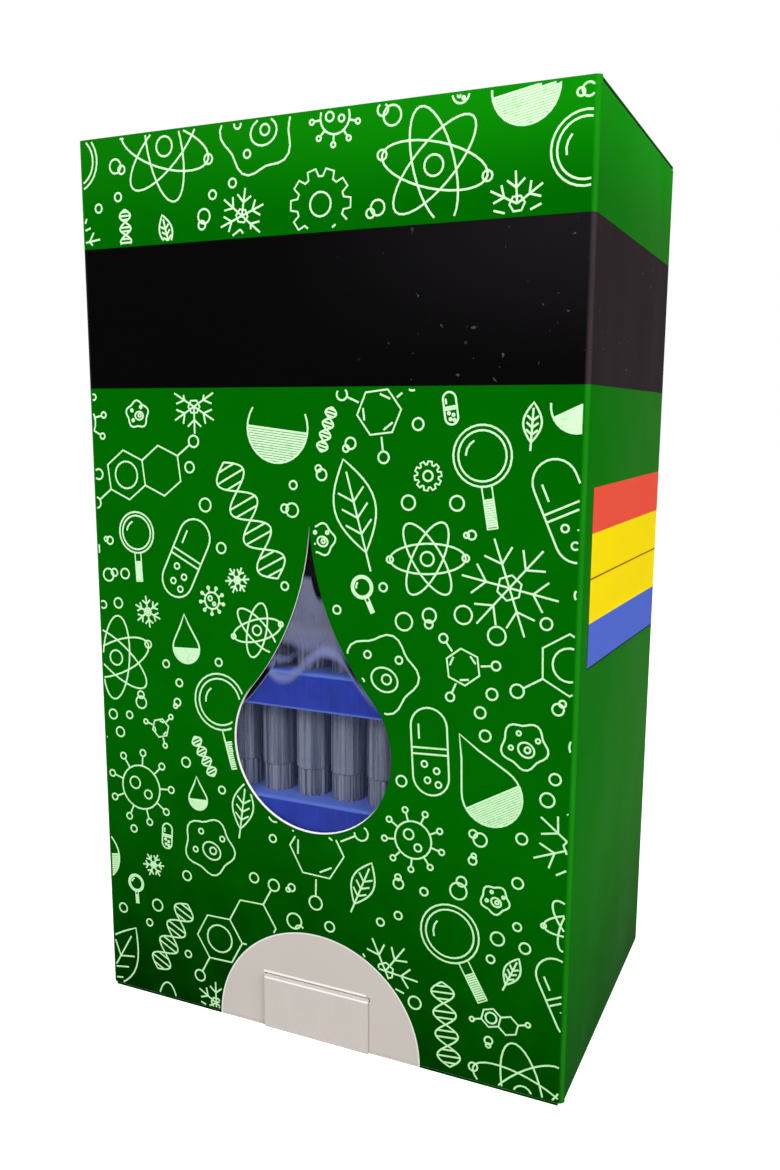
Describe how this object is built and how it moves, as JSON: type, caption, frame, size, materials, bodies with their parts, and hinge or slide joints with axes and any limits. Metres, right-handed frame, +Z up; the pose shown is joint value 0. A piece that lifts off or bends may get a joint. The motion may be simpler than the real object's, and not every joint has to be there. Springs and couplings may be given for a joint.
{
  "type": "box of pipette tips",
  "caption": "Tall printed card carton with a teardrop film window, a tuck lid and a locking tab, filled with a stack of nested racks of pipette tips.",
  "frame": {"origin": "centre of the carton's base", "axes": "+Z up, -Y towards the front face with the window, +X to the right of someone facing the front"},
  "size_m": [0.118, 0.0797, 0.2045],
  "materials": {
    "printed_board": "gloss varnish over print on white carton board",
    "white_board": "unprinted white side of the carton board, satin",
    "clear_film": "clear glossy film",
    "grey_card": "plain grey card",
    "blue_plastic": "moulded, satin gloss",
    "tip_plastic": "translucent natural plastic, satin"
  },
  "bodies": {
    "carton": {"carton": "printed_board", "window_film": "clear_film", "riser": "grey_card", "deck_1": "blue_plastic", "deck_2": "blue_plastic", "deck_3": "blue_plastic", "deck_4": "blue_plastic", "deck_5": "blue_plastic", "tips_1a": "tip_plastic", "tips_1b": "tip_plastic", "tips_1c": "tip_plastic", "tips_1d": "tip_plastic", "tips_1e": "tip_plastic", "tips_1f": "tip_plastic", "tips_1g": "tip_plastic", "tips_1h": "tip_plastic", "tips_2a": "tip_plastic", "tips_2b": "tip_plastic", "tips_2c": "tip_plastic", "tips_2d": "tip_plastic", "tips_2e": "tip_plastic", "tips_2f": "tip_plastic", "tips_2g": "tip_plastic", "tips_2h": "tip_plastic", "tips_3a": "tip_plastic", "tips_3b": "tip_plastic", "tips_3c": "tip_plastic", "tips_3d": "tip_plastic", "tips_3e": "tip_plastic", "tips_3f": "tip_plastic", "tips_3g": "tip_plastic", "tips_3h": "tip_plastic", "tips_4a": "tip_plastic", "tips_4b": "tip_plastic", "tips_4c": "tip_plastic", "tips_4d": "tip_plastic", "tips_4e": "tip_plastic", "tips_4f": "tip_plastic", "tips_4g": "tip_plastic", "tips_4h": "tip_plastic", "tips_5a": "tip_plastic", "tips_5b": "tip_plastic", "tips_5c": "tip_plastic", "tips_5d": "tip_plastic", "tips_5e": "tip_plastic", "tips_5f": "tip_plastic", "tips_5g": "tip_plastic", "tips_5h": "tip_plastic"},
    "lid": {"lid": "printed_board"},
    "locking_tab": {"locking_tab": "white_board"}
  },
  "joints": [
    {"name": "lid_hinge", "type": "hinge", "parent": "carton", "child": "lid", "pos_m": [0, 0.03925, 0.20425], "axis": [-1, 0, 0], "range_deg": [0, 180]},
    {"name": "tab_hinge", "type": "hinge", "parent": "carton", "child": "locking_tab", "pos_m": [0, -0.0399, 0.00025], "axis": [1, 0, 0], "range_deg": [0, 90]}
  ]
}
